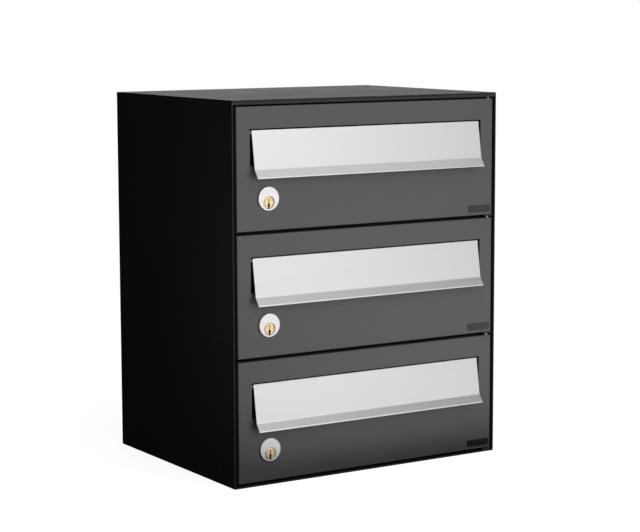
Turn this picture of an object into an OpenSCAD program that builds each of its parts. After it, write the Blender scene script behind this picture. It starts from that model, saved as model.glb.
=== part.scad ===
// Wall or floor standing cluster of three letter boxes, one above another.
// Right-handed frame, +Z up, the doors face -Y, +X is to the right of a person at the doors.
// The origin is the centre of the footprint, flap lips included, at the underside of the casing.

/* [Casing] */
// Overall width of the casing
casing_w = 350; // [300:1:440]
// Overall height of the casing
casing_h = 420; // [396:1:520]
// Overall depth of the casing, flap lips not counted
casing_d = 270; // [180:1:420]
// Thickness of the steel sheet
sheet_t = 1.2; // [0.8:0.1:1.5]
// Width of the folded flanges that join the casing sheets
flange_w = 14; // [8:0.5:20]
// Corner relief between a side panel's top or bottom flange and its rear flange
fold_relief = 3; // [1:0.5:6]
// Outer corner chamfer of a fold
fold_c = 0.8; // [0.4:0.1:1.2]
// Distance that the header rail stands behind the front edge
rail_setback = 0.3; // [0:0.1:1]
// Depth of the header rail
rail_d = 20; // [14:1:40]
// Gap between the highest door and the header rail
rail_gap = 1.9; // [1.5:0.1:3]

/* [Doors] */
// Gap below the lowest door, from the underside of the casing
foot_gap = 4.6; // [4:0.1:10]
// Height from the top of the highest door to the top of the casing
head_h = 6.8; // [6.4:0.1:14]
// Gap between one door and the next
door_gap = 3.7; // [3:0.1:8]
// Gap between a door's side edge and the casing wall
side_gap = 3.8; // [2.5:0.1:6]
// Depth of the folded rim round a door
door_d = 14; // [10:0.5:16]
// Radius of the folds round a door's front face
door_r = 1.2; // [0.8:0.1:2]
// Width of the letter slot
slot_w = 306; // [200:1:316]
// Height of the letter slot
slot_h = 39; // [30:0.1:47]
// Distance from a door's top edge to its letter slot
slot_drop = 24; // [16:0.5:34]

/* [Hinges] */
// Diameter of the hinge pins
pin_d = 3; // [2:0.1:3.4]
// Distance of the hinge axis from the door's right edge
hinge_in = 4.2; // [4:0.1:8]
// Distance of the hinge axis behind the door's front face
hinge_back = 4; // [3.8:0.1:8]
// Outer diameter of the nylon hinge bushes
bush_d = 5.2; // [4.4:0.1:5.4]
// Length of a hinge bush
bush_l = 8; // [5:0.5:14]
// Distance that a bush stands out of the door's rim
bush_proud = 0.2; // [0.1:0.1:0.3]
// Gap between a hinge lug and the door next to it
lug_gap = 0.4; // [0.4:0.1:0.8]
// Width of a hinge lug
lug_w = 12; // [8:0.5:15]

/* [Flap] */
// Gap between each end of the flap and the side of the slot
flap_end_gap = 2.5; // [1:0.1:6]
// Gap between the flap's top edge and the top of the slot
flap_top_gap = 1.4; // [1.2:0.1:4]
// Distance of the flap's top edge behind the door's front face
flap_inset = 1; // [0.4:0.1:2]
// Distance that the flap's flat face reaches below the slot
flap_cover = 4.4; // [3:0.1:8]
// Distance that the flat face leans out from top to bottom
flap_lean = 6.5; // [6:0.1:10]
// Height of the flared lip below the flat face
lip_h = 9.3; // [5:0.1:14]
// Distance that the lip flares out
lip_out = 6; // [3:0.1:10]
// Height of the upright edge at the bottom of the lip
lip_land = 1.2; // [0.8:0.1:2]
// Thickness of the aluminium flap
flap_t = 1.5; // [1.2:0.1:2]
// Outer diameter of the flap's hinge bead
bead_d = 5.5; // [5:0.1:7]
// Diameter of the flap's hinge rod
rod_d = 3; // [2:0.1:3.2]
// Distance of the rod's axis behind the door's front face
rod_back = 3.8; // [3.8:0.1:6]
// Distance of the rod's axis below the flap's top edge
rod_drop = 2.9; // [2.6:0.1:5]

/* [Lock] */
// Distance of the lock's centre from the door's left edge
lock_in = 39; // [34:0.5:60]
// Distance of the lock's centre above the door's lower edge
lock_up = 34.6; // [30:0.1:45]
// Diameter of the lock's round face
lock_face_d = 26.4; // [25.2:0.1:32]
// Thickness of the lock's round face
lock_face_t = 1.8; // [1:0.1:3]
// Diameter of the lock's housing
lock_body_d = 24; // [23:0.1:25]
// Length of the lock's housing behind the door's front face
lock_body_l = 19; // [17:0.5:30]
// Diameter of the key plug
plug_d = 13; // [10:0.1:13.5]
// Distance of the key plug's axis below the lock's centre
plug_drop = 4.2; // [3:0.1:4.3]
// Distance that the locked cam's tip stays inside the door's left edge
cam_tip_in = 3; // [2:0.1:6]
// Distance that the locked cam reaches behind the strike
cam_catch = 7.2; // [4:0.1:10]
// Width of the cam
cam_w = 12; // [8:0.5:14]
// Thickness of the cam
cam_t = 2; // [1.5:0.1:3]

/* [Badge] */
// Width of the blank badge plate
badge_w = 29.8; // [15:0.1:60]
// Height of the badge plate
badge_h = 7.6; // [4:0.1:14]
// Thickness of the badge plate
badge_t = 0.8; // [0.4:0.1:1.2]
// Distance of the badge plate from the door's right edge
badge_in = 3.3; // [2:0.1:20]
// Distance of the badge plate above the door's lower edge
badge_up = 3.8; // [2:0.1:10]

/* [Mounts] */
// Diameter of the wall fixing holes in the back panel
wall_hole_d = 6.5; // [4:0.1:9]
// Distance between the wall fixing holes from side to side
wall_hole_dx = 250; // [150:1:260]
// Distance between the wall fixing holes from bottom to top
wall_hole_dz = 300; // [200:1:310]
// Diameter of the holes that join units side by side
link_hole_d = 4.2; // [3:0.1:6]
// Distance of those holes behind the front edge
link_back = 26.1; // [24:0.1:40]
// Height of the lowest of those holes above the underside
link_low = 19.4; // [14:0.1:21]

/* [Hidden] */

$fn = 64;
eps = 0.01;                     // how far a cut runs past the face it opens
run_gap = 0.05;                 // radial clearance of a running fit
part_gap = 0.3;                 // clearance between parts that pass each other

// Levels, counted from the lowest compartment
LOWER = 0;
MIDDLE = 1;
UPPER = 2;

casing_black = [0.045, 0.045, 0.05];
door_grey = [0.13, 0.13, 0.14];
satin_aluminium = [0.83, 0.83, 0.84];
bright_steel = [0.75, 0.75, 0.76];
zinc_steel = [0.62, 0.63, 0.66];
key_brass = [0.83, 0.66, 0.36];
nylon_white = [0.86, 0.85, 0.8];
soft_black = [0.06, 0.06, 0.06];

// Casing
half_w = casing_w / 2;
inner_half_w = half_w - sheet_t;
flap_reach = flap_lean + lip_out - flap_inset;
front_y = (flap_reach - casing_d) / 2;
back_flange_y = casing_d - 2 * sheet_t;

rail_low = casing_h - head_h + rail_gap;
rivet_d = 3.2;
rivet_head_d = 5;
rivet_tail_t = 1.2;
rivet_rows = 4;
rivet_margin = 30;

// Doors
door_w = casing_w - 2 * (sheet_t + side_gap);
door_h = (casing_h - foot_gap - head_h - 2 * door_gap) / 3;
pitch = door_h + door_gap;
half_door_w = door_w / 2;
hinge_x = half_door_w - hinge_in;
pin_reach = bush_l - 1;         // how far a hinge pin enters a door's bush
slot_top = door_h - slot_drop;
slot_low = slot_top - slot_h;
link_heights = [link_low, link_low + pitch, casing_h - link_low];
lug_front = 0.8;                // the lug stays this far behind the door's front face

// Shelves
shelf_front = door_d + 4;       // clear of the corner that a door's rim sweeps
shelf_lip_h = 12;

// Flap, in the plane of its section: first the distance behind the door face, then the height
flap_w = slot_w - 2 * flap_end_gap;
flap_face_h = slot_h - flap_top_gap + flap_cover;
flap_top = [flap_inset, slot_top - flap_top_gap];
flap_bend = flap_top + [-flap_lean, -flap_face_h];
lip_edge = flap_bend + [-lip_out, lip_land - lip_h];
lip_tip = lip_edge + [0, -lip_land];
rod_z = flap_top[1] - rod_drop;
ear_t = sheet_t;
ear_x = slot_w / 2 + 1.5;       // inner face of a bracket's ear
ear_h = 10;
ear_margin = 3.5;               // metal round the rod in a bracket
foot_w = 9;
foot_h = 16;
clip_gap = 0.1;                 // between a rod clip and the door sheet
clip_d = 2 * (rod_back - sheet_t - clip_gap);
clip_t = 0.8;
rod_l = 2 * (ear_x + ear_t + 2 * clip_t);
bumper_d = 8;
bumper_x = 0.4 * slot_w;
face_normal = inward(flap_top, flap_bend);
lip_normal = inward(flap_bend, lip_edge);

// Lock
lock_x = lock_in - half_door_w;
plug_z = lock_up - plug_drop;
plug_recess = 0.4;
cam_front = lock_body_l + part_gap;
cam_l = lock_in - cam_tip_in;   // from the plug's axis to the tip
tail_w = 6.5;                   // side of the square tail that drives the cam
cam_hub_d = 16;
keyway_w = 1.6;
keyway_h = 8.4;
keyway_d = 14;
screw_d = 4;
screw_l = 9;
screw_head_d = 8;
screw_head_t = 2.6;
nut_t = 4;
nut_wall = 6;                   // the nut is this much wider than the housing, across flats
strike_gap = 0.5;               // play between the cam and the strike
strike_w = side_gap + cam_tip_in + cam_catch;
strike_h = 24;
strike_leg = 22;

// Moves a door's own frame, front left of centre at its lower edge, to its level
module at_door(level) {
  translate([0, front_y, foot_gap + level * pitch]) children();
}

// Runs a section drawn as [behind the front, height] along X, centred
module along_x(length) {
  rotate([90, 0, 90]) translate([0, 0, -length / 2]) linear_extrude(length) children();
}

// A drilling or round bar along Y, from y0 to y1
module along_y(d, y0, y1) {
  translate([0, y0, 0]) rotate([-90, 0, 0]) cylinder(d = d, h = y1 - y0);
}

// ---------------------------------------------------------------- casing

// The outer wall of a side panel, seen from the front, with the fold at each end
module side_wall_section() {
  low = sheet_t;
  top = casing_h - sheet_t;
  polygon([
    [-half_w, low + fold_c], [-half_w + fold_c, low], [-inner_half_w, low],
    [-inner_half_w, top], [-half_w + fold_c, top], [-half_w, top - fold_c]
  ]);
}

// The left panel; the right one is its mirror image
module side_panel() {
  inner_flange_w = flange_w - sheet_t;
  flange_d = back_flange_y - rail_d - part_gap - fold_relief;
  difference() {
    union() {
      translate([0, front_y + back_flange_y + sheet_t, 0]) rotate([90, 0, 0])
        linear_extrude(back_flange_y + sheet_t) side_wall_section();
      for (z = [sheet_t, casing_h - 2 * sheet_t])
        translate([-inner_half_w, front_y + rail_d + part_gap, z])
          cube([inner_flange_w, flange_d, sheet_t]);
      translate([-inner_half_w, front_y + back_flange_y, sheet_t])
        cube([inner_flange_w, sheet_t, casing_h - 2 * sheet_t]);
    }
    for (z = link_heights)
      translate([-half_w - eps, front_y + link_back, z]) rotate([0, 90, 0])
        cylinder(d = link_hole_d, h = sheet_t + 2 * eps);
    back_rivet_places() back_rivet_shape(eps);
  }
}

module left_side_panel() {
  color(casing_black) side_panel();
}

module right_side_panel() {
  color(casing_black) mirror([1, 0, 0]) side_panel();
}

module top_panel() {
  color(casing_black) translate([-half_w, front_y, casing_h - sheet_t])
    cube([casing_w, casing_d, sheet_t]);
}

module bottom_panel() {
  color(casing_black) translate([-half_w, front_y, 0])
    cube([casing_w, casing_d, sheet_t]);
}

module back_panel() {
  color(casing_black) difference() {
    translate([-half_w, front_y + casing_d - sheet_t, sheet_t])
      cube([casing_w, sheet_t, casing_h - 2 * sheet_t]);
    for (x = [-1, 1], z = [-1, 1])
      translate([x * wall_hole_dx / 2, front_y, casing_h / 2 + z * wall_hole_dz / 2])
        along_y(wall_hole_d, back_flange_y, casing_d + eps);
    back_rivet_places() back_rivet_shape(eps);
  }
}

// Countersunk rivets hold the back panel to the side panels' rear flanges
module back_rivet_places() {
  step = (casing_h - 2 * rivet_margin) / (rivet_rows - 1);
  for (side = [-1, 1], row = [0 : rivet_rows - 1])
    translate([side * (half_w - flange_w / 2), front_y, rivet_margin + row * step]) children();
}

module back_rivet_shape(over) {
  along_y(rivet_d, back_flange_y - over, casing_d + over);
  translate([0, casing_d - sheet_t / 2, 0]) rotate([-90, 0, 0])
    cylinder(d1 = rivet_d, d2 = rivet_head_d, h = sheet_t / 2);
}

module back_rivets() {
  color(casing_black) back_rivet_places() {
    back_rivet_shape(0);
    along_y(rivet_head_d, back_flange_y - rivet_tail_t, back_flange_y);
  }
}

// Folded rail under the top panel that carries the upper door's top hinge pin
module header_rail() {
  low = rail_low;
  top = casing_h - sheet_t;
  front = rail_setback;
  web = rail_setback + sheet_t;
  color(casing_black) difference() {
    translate([0, front_y, 0]) along_x(2 * inner_half_w) polygon([
      [front, low], [rail_d, low], [rail_d, low + sheet_t], [web, low + sheet_t],
      [web, top - sheet_t], [rail_d, top - sheet_t], [rail_d, top],
      [front + fold_c, top], [front, top - fold_c]
    ]);
    hinge_pin(rail_low - eps, rail_low + sheet_t + eps);
  }
}

// A shelf between two compartments: plate, front lip, side flanges and hinge lug.
// level is the compartment above it.
module shelf(level) {
  top = foot_gap + level * pitch - lug_gap;
  low = top - sheet_t;
  plate_end = back_flange_y - part_gap;
  color(casing_black) difference() {
    union() {
      translate([-inner_half_w, front_y + shelf_front, low])
        cube([2 * inner_half_w, plate_end - shelf_front, sheet_t]);
      translate([-inner_half_w, front_y + shelf_front, top - shelf_lip_h])
        cube([2 * inner_half_w, sheet_t, shelf_lip_h]);
      for (x = [-inner_half_w, inner_half_w - sheet_t])
        translate([x, front_y + shelf_front, top - shelf_lip_h])
          cube([sheet_t, plate_end - shelf_front, shelf_lip_h]);
      hinge_lug(low, top);
    }
    hinge_pin(low - eps, top + eps);
  }
}

module upper_shelf() { shelf(UPPER); }
module lower_shelf() { shelf(MIDDLE); }

// A flat lug that reaches forward to the hinge axis, from height z0 to z1
module hinge_lug(z0, z1) {
  translate([hinge_x - lug_w / 2, front_y + lug_front, z0])
    cube([lug_w, shelf_front + sheet_t - lug_front, z1 - z0]);
}

module bottom_hinge_lug() {
  color(casing_black) difference() {
    hinge_lug(sheet_t, foot_gap - lug_gap);
    hinge_pin(sheet_t - eps, foot_gap - lug_gap + eps);
  }
}

// A round bar on the hinge axis, from height z0 to z1
module hinge_pin(z0, z1) {
  translate([hinge_x, front_y + hinge_back, z0]) cylinder(d = pin_d, h = z1 - z0);
}

// One pin at the bottom, one in each gap between doors and one at the top
module hinge_pins() {
  upper_door_top = foot_gap + UPPER * pitch + door_h;
  color(bright_steel) {
    hinge_pin(sheet_t, foot_gap + pin_reach);
    for (level = [MIDDLE, UPPER])
      hinge_pin(foot_gap + level * pitch - door_gap - pin_reach, foot_gap + level * pitch + pin_reach);
    hinge_pin(upper_door_top - pin_reach, rail_low + sheet_t);
  }
}

// Angle on the left side panel that the cam catches behind
module strike(level) {
  face = cam_front - strike_gap;
  color(casing_black) at_door(level) translate([-inner_half_w, face - sheet_t, plug_z - strike_h / 2]) {
    cube([strike_w, sheet_t, strike_h]);
    cube([sheet_t, strike_leg, strike_h]);
  }
}

module upper_strike() { strike(UPPER); }
module middle_strike() { strike(MIDDLE); }
module lower_strike() { strike(LOWER); }

// ---------------------------------------------------------------- doors

// A rectangle with its two front corners rounded, from a to b across and d deep
module fold_section(a, b, d) {
  polygon(concat(
    [for (t = [180 : 15 : 270]) [a + door_r + door_r * cos(t), door_r + door_r * sin(t)]],
    [for (t = [270 : 15 : 360]) [b - door_r + door_r * cos(t), door_r + door_r * sin(t)]],
    [[b, d], [a, d]]
  ));
}

// A sheet tray with rounded folds, a letter slot, a lock hole and two bush holes
module door_panel(level) {
  color(door_grey) at_door(level) difference() {
    intersection() {
      linear_extrude(door_h) fold_section(-half_door_w, half_door_w, door_d);
      rotate([0, -90, 0]) translate([0, 0, -half_door_w])
        linear_extrude(door_w) fold_section(0, door_h, door_d);
    }
    translate([-half_door_w + sheet_t, sheet_t, sheet_t])
      cube([door_w - 2 * sheet_t, door_d, door_h - 2 * sheet_t]);
    translate([-slot_w / 2, -eps, slot_low]) cube([slot_w, sheet_t + 2 * eps, slot_h]);
    translate([lock_x, 0, lock_up]) along_y(lock_body_d + 4 * run_gap, -eps, sheet_t + eps);
    translate([hinge_x, hinge_back, -eps]) cylinder(d = bush_d, h = door_h + 2 * eps);
  }
}

module upper_door_panel() { door_panel(UPPER); }
module middle_door_panel() { door_panel(MIDDLE); }
module lower_door_panel() { door_panel(LOWER); }

// Nylon bushes in the lower and upper rims, turning on the hinge pins
module door_bushes(level) {
  color(nylon_white) at_door(level) for (z = [-bush_proud, door_h + bush_proud - bush_l])
    translate([hinge_x, hinge_back, z]) difference() {
      cylinder(d = bush_d, h = bush_l);
      translate([0, 0, -eps]) cylinder(d = pin_d + 2 * run_gap, h = bush_l + 2 * eps);
    }
}

module upper_door_bushes() { door_bushes(UPPER); }
module middle_door_bushes() { door_bushes(MIDDLE); }
module lower_door_bushes() { door_bushes(LOWER); }

module badge(level) {
  color(soft_black) at_door(level)
    translate([half_door_w - badge_in - badge_w, -badge_t, badge_up]) cube([badge_w, badge_t, badge_h]);
}

module upper_badge() { badge(UPPER); }
module middle_badge() { badge(MIDDLE); }
module lower_badge() { badge(LOWER); }

// ---------------------------------------------------------------- flaps

// Angles on the back of the door that hold the flap's hinge rod, each with a window in its foot
// that clears the rod's end and its clip
module flap_brackets(level) {
  window_h = clip_d + 2 * part_gap;
  color(zinc_steel) at_door(level) for (side = [0, 1]) mirror([side, 0, 0]) difference() {
    translate([ear_x, sheet_t, rod_z]) {
      translate([0, 0, -ear_h / 2]) cube([ear_t, rod_back + ear_margin - sheet_t, ear_h]);
      translate([0, 0, -foot_h / 2]) cube([foot_w, ear_t, foot_h]);
    }
    translate([ear_x - eps, rod_back, rod_z]) rotate([0, 90, 0])
      cylinder(d = rod_d, h = ear_t + 2 * eps);
    translate([ear_x + ear_t, sheet_t - eps, rod_z - window_h / 2])
      cube([2 * clip_t + part_gap, ear_t + 2 * eps, window_h]);
  }
}

module upper_flap_brackets() { flap_brackets(UPPER); }
module middle_flap_brackets() { flap_brackets(MIDDLE); }
module lower_flap_brackets() { flap_brackets(LOWER); }

module flap_rod(level) {
  color(bright_steel) at_door(level) translate([-rod_l / 2, rod_back, rod_z]) rotate([0, 90, 0])
    cylinder(d = rod_d, h = rod_l);
}

module upper_flap_rod() { flap_rod(UPPER); }
module middle_flap_rod() { flap_rod(MIDDLE); }
module lower_flap_rod() { flap_rod(LOWER); }

// Push-on clips that keep the rod in its brackets
module rod_clips(level) {
  color(zinc_steel) at_door(level) for (side = [0, 1]) mirror([side, 0, 0])
    translate([ear_x + ear_t, rod_back, rod_z]) rotate([0, 90, 0]) difference() {
      cylinder(d = clip_d, h = clip_t);
      translate([0, 0, -eps]) cylinder(d = rod_d, h = clip_t + 2 * eps);
    }
}

module upper_rod_clips() { rod_clips(UPPER); }
module middle_rod_clips() { rod_clips(MIDDLE); }
module lower_rod_clips() { rod_clips(LOWER); }

// Rubber buffers below the slot that the closed flap comes down on
module flap_bumpers(level) {
  color(soft_black) at_door(level) for (x = [-bumper_x, bumper_x])
    translate([x, 0, slot_low - bumper_d / 2 - part_gap])
      along_y(bumper_d, flap_back(slot_low) + part_gap, 0);
}

module upper_flap_bumpers() { flap_bumpers(UPPER); }
module middle_flap_bumpers() { flap_bumpers(MIDDLE); }
module lower_flap_bumpers() { flap_bumpers(LOWER); }

// The normal of the line from a to b, towards the inside of the flap
function inward(a, b) = let (d = (b - a) / norm(b - a)) [-d[1], d[0]];

// The inner corner of a bent sheet whose outer corner is p, between normals m and n
function inner_corner(p, m, n) = p + flap_t * (m + n) / (1 + m * n);

// How far behind the door face the flap's inner surface lies at height z
function flap_back(z) =
  flap_top[0] - (flap_top[1] - z) * flap_lean / flap_face_h + flap_t / face_normal[0];

// The extruded section: flat face, flared lip, upright edge and hinge bead
module flap_section() {
  polygon([
    flap_top, flap_bend, lip_edge, lip_tip,
    lip_tip + [flap_t, 0],
    inner_corner(lip_edge, lip_normal, [1, 0]),
    inner_corner(flap_bend, face_normal, lip_normal),
    flap_top + flap_t * face_normal
  ]);
  translate([rod_back, rod_z]) circle(d = bead_d);
}

module flap(level) {
  color(satin_aluminium) at_door(level) along_x(flap_w) difference() {
    flap_section();
    translate([rod_back, rod_z]) circle(d = rod_d + 2 * run_gap);
  }
}

module upper_flap() { flap(UPPER); }
module middle_flap() { flap(MIDDLE); }
module lower_flap() { flap(LOWER); }

// ---------------------------------------------------------------- locks

// Round face and housing, bored off centre for the key plug
module lock_body(level) {
  edge = lock_face_t / 3;
  color(bright_steel) at_door(level) translate([lock_x, 0, lock_up]) difference() {
    union() {
      rotate([90, 0, 0]) {
        cylinder(d = lock_face_d, h = lock_face_t - edge);
        translate([0, 0, lock_face_t - edge])
          cylinder(d1 = lock_face_d, d2 = lock_face_d - 2 * edge, h = edge);
      }
      along_y(lock_body_d, -eps, lock_body_l);
    }
    translate([0, 0, -plug_drop])
      along_y(plug_d + 2 * run_gap, -lock_face_t - eps, lock_body_l + eps);
  }
}

module upper_lock_body() { lock_body(UPPER); }
module middle_lock_body() { lock_body(MIDDLE); }
module lower_lock_body() { lock_body(LOWER); }

// Six-sided nut that clamps the housing to the door
module lock_nut(level) {
  color(zinc_steel) at_door(level) translate([lock_x, sheet_t, lock_up]) difference() {
    rotate([-90, 0, 0]) cylinder(d = (lock_body_d + nut_wall) / cos(30), h = nut_t, $fn = 6);
    along_y(lock_body_d, -eps, nut_t + eps);
  }
}

module upper_lock_nut() { lock_nut(UPPER); }
module middle_lock_nut() { lock_nut(MIDDLE); }
module lower_lock_nut() { lock_nut(LOWER); }

// Brings children to the key plug's axis
module at_plug(level) {
  at_door(level) translate([lock_x, 0, plug_z]) children();
}

// Brass plug with an upright keyway and a square tail for the cam
module lock_plug(level) {
  face = plug_recess - lock_face_t;
  color(key_brass) at_plug(level) difference() {
    union() {
      along_y(plug_d, face, cam_front);
      translate([-tail_w / 2, cam_front - eps, -tail_w / 2]) cube([tail_w, cam_t + eps, tail_w]);
    }
    translate([-keyway_w / 2, face - eps, -keyway_h / 2]) cube([keyway_w, keyway_d, keyway_h]);
    along_y(screw_d, cam_front + cam_t - screw_l, cam_front + cam_t + eps);
  }
}

module upper_lock_plug() { lock_plug(UPPER); }
module middle_lock_plug() { lock_plug(MIDDLE); }
module lower_lock_plug() { lock_plug(LOWER); }

// Flat cam, drawn unlocked and pointing up; a quarter turn to the left locks the door
module lock_cam(level) {
  color(zinc_steel) at_plug(level) translate([0, cam_front + cam_t, 0]) rotate([90, 0, 0])
    linear_extrude(cam_t) difference() {
      union() {
        circle(d = cam_hub_d);
        translate([-cam_w / 2, 0]) square([cam_w, cam_l - cam_w / 2]);
        translate([0, cam_l - cam_w / 2]) circle(d = cam_w);
      }
      square(tail_w, center = true);
    }
}

module upper_lock_cam() { lock_cam(UPPER); }
module middle_lock_cam() { lock_cam(MIDDLE); }
module lower_lock_cam() { lock_cam(LOWER); }

module cam_screw(level) {
  color(zinc_steel) at_plug(level) {
    along_y(screw_d, cam_front + cam_t - screw_l, cam_front + cam_t);
    along_y(screw_head_d, cam_front + cam_t, cam_front + cam_t + screw_head_t);
  }
}

module upper_cam_screw() { cam_screw(UPPER); }
module middle_cam_screw() { cam_screw(MIDDLE); }
module lower_cam_screw() { cam_screw(LOWER); }

left_side_panel();
right_side_panel();
top_panel();
bottom_panel();
back_panel();
header_rail();
upper_shelf();
lower_shelf();
bottom_hinge_lug();
hinge_pins();
back_rivets();
upper_strike();
middle_strike();
lower_strike();
upper_door_panel();
middle_door_panel();
lower_door_panel();
upper_door_bushes();
middle_door_bushes();
lower_door_bushes();
upper_badge();
middle_badge();
lower_badge();
upper_flap_brackets();
middle_flap_brackets();
lower_flap_brackets();
upper_flap_rod();
middle_flap_rod();
lower_flap_rod();
upper_rod_clips();
middle_rod_clips();
lower_rod_clips();
upper_flap_bumpers();
middle_flap_bumpers();
lower_flap_bumpers();
upper_lock_body();
middle_lock_body();
lower_lock_body();
upper_lock_nut();
middle_lock_nut();
lower_lock_nut();
upper_flap();
middle_flap();
lower_flap();
upper_lock_plug();
middle_lock_plug();
lower_lock_plug();
upper_lock_cam();
middle_lock_cam();
lower_lock_cam();
upper_cam_screw();
middle_cam_screw();
lower_cam_screw();
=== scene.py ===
"""Finishes for a cluster mailbox unit: casing sheets, doors, letter flaps and cam locks."""
from math import cos, pi, radians, sin, tau

import bmesh
import bpy
from bpy.props import FloatProperty, FloatVectorProperty, IntProperty, PointerProperty
from bpy.types import Operator, Panel, PropertyGroup
from mathutils import Matrix, Vector


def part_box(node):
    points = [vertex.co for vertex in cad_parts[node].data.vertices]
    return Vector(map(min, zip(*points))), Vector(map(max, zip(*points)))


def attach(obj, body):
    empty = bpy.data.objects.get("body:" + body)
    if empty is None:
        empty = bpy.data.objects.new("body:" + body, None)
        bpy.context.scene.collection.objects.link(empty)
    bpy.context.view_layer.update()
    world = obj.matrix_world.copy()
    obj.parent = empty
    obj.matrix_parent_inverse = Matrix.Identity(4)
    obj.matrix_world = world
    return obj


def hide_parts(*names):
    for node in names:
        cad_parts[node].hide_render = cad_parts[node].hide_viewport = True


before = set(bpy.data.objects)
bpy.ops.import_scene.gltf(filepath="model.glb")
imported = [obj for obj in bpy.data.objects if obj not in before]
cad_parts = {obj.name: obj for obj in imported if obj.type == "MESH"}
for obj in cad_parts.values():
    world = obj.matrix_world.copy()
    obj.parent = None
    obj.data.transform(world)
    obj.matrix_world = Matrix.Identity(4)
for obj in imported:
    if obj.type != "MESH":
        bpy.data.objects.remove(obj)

bl_info = {
    "name": "Cluster Mailbox Finishes",
    "version": (1, 0, 0),
    "blender": (4, 5, 0),
    "location": "View3D > Sidebar > Mailbox",
    "description": "Models and paints the pieces of a cluster mailbox unit round its frame",
    "category": "Object",
}

MM = 0.001
WELD = 0.002 * MM
CLOSE = 0.01 * MM
LEVELS = ("lower", "middle", "upper")
X, Y, Z = Vector((1, 0, 0)), Vector((0, 1, 0)), Vector((0, 0, 1))
SHEETS = {
    "left_side_panel": "left_side_sheet",
    "right_side_panel": "right_side_sheet",
    "top_panel": "top_sheet",
    "bottom_panel": "bottom_sheet",
    "back_panel": "back_sheet",
    "header_rail": "header_channel",
    "bottom_hinge_lug": "bottom_lug_block",
}
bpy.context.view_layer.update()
CASING_LOW, CASING_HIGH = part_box("bottom_panel")[0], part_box("top_panel")[1]
DOOR_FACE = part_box("lower_door_panel")[0].y
LEVEL_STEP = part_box("middle_door_panel")[0].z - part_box("lower_door_panel")[0].z


def middle(node):
    """The centre of a CAD node's box."""
    low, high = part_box(node)
    return (low + high) / 2


def front_centre(node):
    """The centre of the front of a CAD node's box."""
    place = middle(node)
    place.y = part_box(node)[0].y
    return place


# ------------------------------------------------------------------ settings

def length(name, description, default, low=0.0, high=0.1):
    """A size in metres that a user may change."""
    return FloatProperty(name=name, description=description, default=default, min=low, max=high,
                         subtype="DISTANCE", unit="LENGTH", precision=5)


def factor(name, description, default, high=1.0):
    """A share or strength that a user may change."""
    return FloatProperty(name=name, description=description, default=default, min=0.0, max=high)


def colour(name, description, default):
    """A colour that a user may change."""
    return FloatVectorProperty(name=name, description=description, default=default, size=3,
                               subtype="COLOR", min=0.0, max=1.0)


def angle(name, description, degrees):
    """An angle that a user may change."""
    return FloatProperty(name=name, description=description, default=radians(degrees),
                         subtype="ANGLE", unit="ROTATION")


class CasingSettings(PropertyGroup):
    """Sizes of the casing's details."""
    edge_round: length("Edge round", "Radius that the coat leaves on a sheet's edges", 0.3 * MM)
    fold_round: length("Fold round", "Rounding of the header's fold under the top sheet", 0.55 * MM)
    pin_chamfer: length("Pin chamfer", "Chamfer at the ends of the hinge pins", 0.3 * MM)
    rivet_rows: IntProperty(name="Rivet rows", description="Rivets down each side of the back",
                            default=4, min=2, max=12)
    rivet_radius: length("Rivet radius", "Radius of a rivet's head", 2.5 * MM)
    rivet_shank: length("Rivet shank", "Radius of a rivet's shank", 1.6 * MM)
    mandrel_radius: length("Mandrel radius", "Radius of the hole in a rivet's head", 0.8 * MM)


class DoorSettings(PropertyGroup):
    """Sizes of the doors' details."""
    edge_round: length("Edge round", "Radius of the coat on a door's edges", 0.25 * MM)
    bush_length: length("Bush length", "Length of a hinge bush", 8 * MM)
    bush_bore: length("Bush bore", "Radius of a hinge bush's bore", 1.55 * MM)
    badge_corner: length("Badge corner", "Corner radius of the badge plate", 0.9 * MM)
    badge_border: length("Badge border", "Width of the badge plate's raised border", 0.35 * MM)
    badge_step: length("Badge step", "Height of the badge plate's raised border", 0.2 * MM)


class FlapSettings(PropertyGroup):
    """Sizes of the letter flaps' details."""
    bend_round: length("Bend round", "Radius along the bends of the extrusion", 0.9 * MM)
    edge_round: length("Edge round", "Radius left on the sawn ends", 0.3 * MM)
    ear_round: length("Ear round", "Corner radius of a bracket's ear", 2.2 * MM)
    clip_bore: length("Clip bore", "Radius of a rod clip's bore", 1.5 * MM)
    bumper_radius: length("Bumper radius", "Radius of a rubber buffer", 4 * MM)
    bumper_round: length("Bumper round", "Edge radius of a rubber buffer", 1.4 * MM)


class LockSettings(PropertyGroup):
    """Sizes of the locks' details."""
    rim_round: length("Rim round", "Edge radius of the lock's face", 0.8 * MM)
    housing_radius: length("Housing radius", "Radius of the threaded housing", 12 * MM)
    thread_pitch: length("Thread pitch", "Pitch of the housing's thread", 1.0 * MM)
    thread_depth: length("Thread depth", "Depth of the housing's thread", 0.45 * MM)
    bore_radius: length("Bore radius", "Radius of the bore for the key plug", 6.55 * MM)
    bore_flare: length("Bore flare", "Width of the flare at the mouth of that bore", 0.45 * MM)
    plug_radius: length("Plug radius", "Radius of the key plug", 6.5 * MM)
    plug_groove: length("Plug groove", "Depth of the ring turned in the plug's face", 0.2 * MM)
    keyway_depth: length("Keyway depth", "Depth of the keyway", 14 * MM)
    tail_side: length("Tail side", "Side of the plug's square tail", 6.5 * MM)
    screw_radius: length("Screw radius", "Radius of the cam screw's thread", 2 * MM)
    edge_round: length("Edge round", "Edge radius of the stamped cam", 0.25 * MM)


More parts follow.
